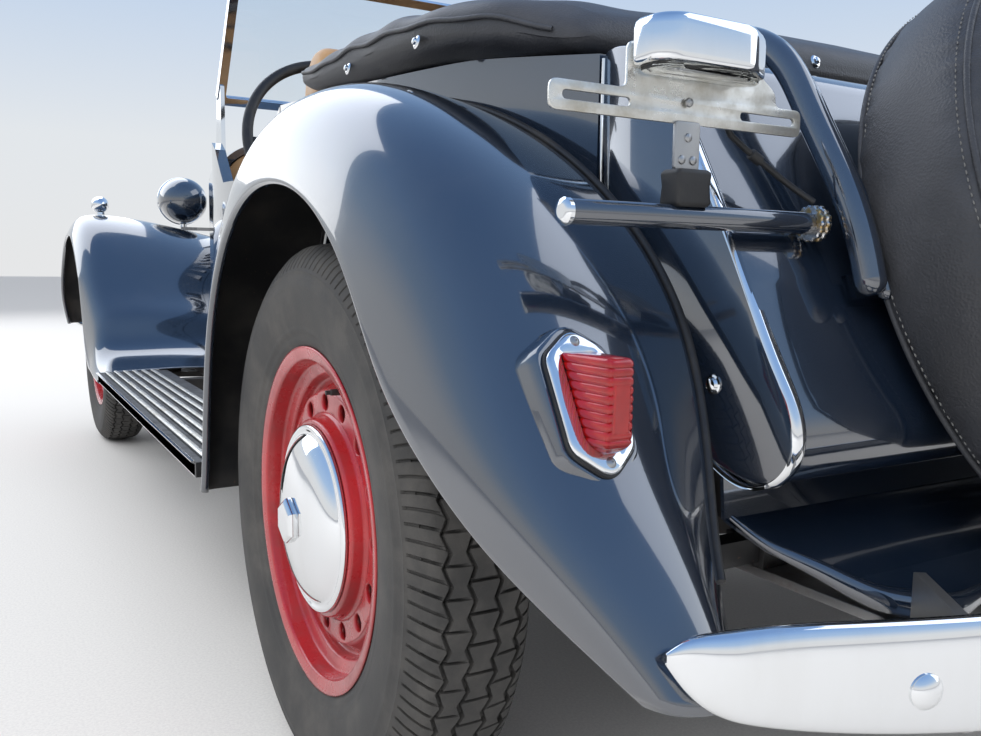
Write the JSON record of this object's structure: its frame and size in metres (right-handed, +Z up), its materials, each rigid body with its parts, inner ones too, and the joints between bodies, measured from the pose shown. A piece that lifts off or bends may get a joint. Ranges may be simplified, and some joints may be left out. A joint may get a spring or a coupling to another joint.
{
  "type": "classic roadster",
  "caption": "Open two-seat classic roadster with separate fenders, running boards, slab tank and covered spare wheel.",
  "frame": {"origin": "on the ground below the centre of the bounding box", "axes": "+X the car's left, +Y its rear, +Z up"},
  "size_m": [1.487, 3.683, 1.3006],
  "materials": {
    "black_paint": "gloss",
    "chassis_black": "satin",
    "red_paint": "gloss",
    "chrome": "polished",
    "steel": "satin",
    "tyre": "matte",
    "black_rubber": "matte",
    "clear_glass": "clear",
    "red_lens": "gloss",
    "tan_leather": "satin",
    "vinyl": "matte",
    "cast_iron": "matte"
  },
  "bodies": {
    "car": {"chassis_frame": "chassis_black", "front_suspension": "chassis_black", "rear_axle": "chassis_black", "rear_springs": "chassis_black", "engine_and_shaft": "cast_iron", "exhaust": "steel", "floor_pan": "black_paint", "scuttle": "black_paint", "instrument_panel": "tan_leather", "quarter_panels": "black_paint", "rear_deck": "black_paint", "rear_apron": "black_paint", "radiator_shell": "chrome", "radiator_grille": "red_paint", "front_fenders": "black_paint", "rear_fenders": "black_paint", "running_boards": "black_rubber", "fuel_tank": "black_paint", "spare_carrier": "black_paint", "spare_cover": "vinyl", "bumper_front": "chrome", "bumper_rear": "chrome", "headlamps": "chrome", "headlamp_lenses": "clear_glass", "lamp_brackets": "chrome", "side_lamps": "chrome", "tail_lamp_bases": "black_paint", "tail_lamp_lenses": "red_lens", "plate_bracket": "chrome", "plate_lamp": "chrome", "windscreen_frame": "chrome", "windscreen_glass": "clear_glass", "seat_cushions": "tan_leather", "seat_back": "tan_leather", "hood_cover": "vinyl", "steering_column": "chassis_black", "bonnet_hinge": "chrome", "bonnet_valances": "black_paint", "plate_lamp_lead": "black_rubber"},
    "door_left": {"door_left": "black_paint"},
    "door_right": {"door_right": "black_paint"},
    "bonnet_left": {"bonnet_left": "black_paint"},
    "bonnet_right": {"bonnet_right": "black_paint"},
    "steering_wheel": {"steering_wheel": "black_rubber"},
    "knuckle_left": {"knuckle_left": "chassis_black"},
    "knuckle_right": {"knuckle_right": "chassis_black"},
    "track_rod": {"track_rod": "steel"},
    "wheel_front_left": {"tyre_front_left": "tyre", "wheel_front_left": "red_paint", "hubcap_front_left": "chrome"},
    "wheel_front_right": {"tyre_front_right": "tyre", "wheel_front_right": "red_paint", "hubcap_front_right": "chrome"},
    "wheel_rear_left": {"tyre_rear_left": "tyre", "wheel_rear_left": "red_paint", "hubcap_rear_left": "chrome"},
    "wheel_rear_right": {"tyre_rear_right": "tyre", "wheel_rear_right": "red_paint", "hubcap_rear_right": "chrome"}
  },
  "joints": [
    {"name": "steering", "type": "hinge", "parent": "car", "child": "steering_wheel", "pos_m": [0.3, 0.12, 0.9], "axis": [0.0314, 0.9508, 0.3082], "range_deg": [-540, 540]},
    {"name": "knuckle_left_turn", "type": "hinge", "parent": "car", "child": "knuckle_left", "pos_m": [0.5, -1.2815, 0.312], "axis": [0, 0, 1], "range_deg": [-27, 27]},
    {"name": "knuckle_right_turn", "type": "hinge", "parent": "car", "child": "knuckle_right", "pos_m": [-0.5, -1.2815, 0.312], "axis": [0, 0, 1], "range_deg": [-27, 27]},
    {"name": "track_rod_slide", "type": "slide", "parent": "car", "child": "track_rod", "axis": [1, 0, 0], "range_m": [-0.0675, 0.0675]},
    {"name": "door_left_open", "type": "hinge", "parent": "car", "child": "door_left", "pos_m": [0.566, 0.558, 0.6], "axis": [0, 0, 1], "range_deg": [0, 70]},
    {"name": "door_right_open", "type": "hinge", "parent": "car", "child": "door_right", "pos_m": [-0.566, 0.558, 0.6], "axis": [0, 0, 1], "range_deg": [-70, 0]},
    {"name": "bonnet_left_lift", "type": "hinge", "parent": "car", "child": "bonnet_left", "pos_m": [0, -0.9, 0.9932], "axis": [0, -0.9996, -0.0278], "range_deg": [0, 50]},
    {"name": "bonnet_right_lift", "type": "hinge", "parent": "car", "child": "bonnet_right", "pos_m": [0, -0.9, 0.9932], "axis": [0, 0.9996, 0.0278], "range_deg": [0, 50]},
    {"name": "roll_front_left", "type": "hinge", "parent": "knuckle_left", "child": "wheel_front_left", "pos_m": [0.602, -1.2815, 0.33], "axis": [1, 0, 0], "continuous": true},
    {"name": "roll_front_right", "type": "hinge", "parent": "knuckle_right", "child": "wheel_front_right", "pos_m": [-0.602, -1.2815, 0.33], "axis": [1, 0, 0], "continuous": true},
    {"name": "roll_rear_left", "type": "hinge", "parent": "car", "child": "wheel_rear_left", "pos_m": [0.635, 1.1065, 0.33], "axis": [1, 0, 0], "continuous": true},
    {"name": "roll_rear_right", "type": "hinge", "parent": "car", "child": "wheel_rear_right", "pos_m": [-0.635, 1.1065, 0.33], "axis": [1, 0, 0], "continuous": true}
  ],
  "couplings": [
    {"joint": "knuckle_left_turn", "follows": "steering", "ratio": 0.05},
    {"joint": "knuckle_right_turn", "follows": "steering", "ratio": 0.05},
    {"joint": "track_rod_slide", "follows": "steering", "m_per_rad": 0.007162}
  ]
}
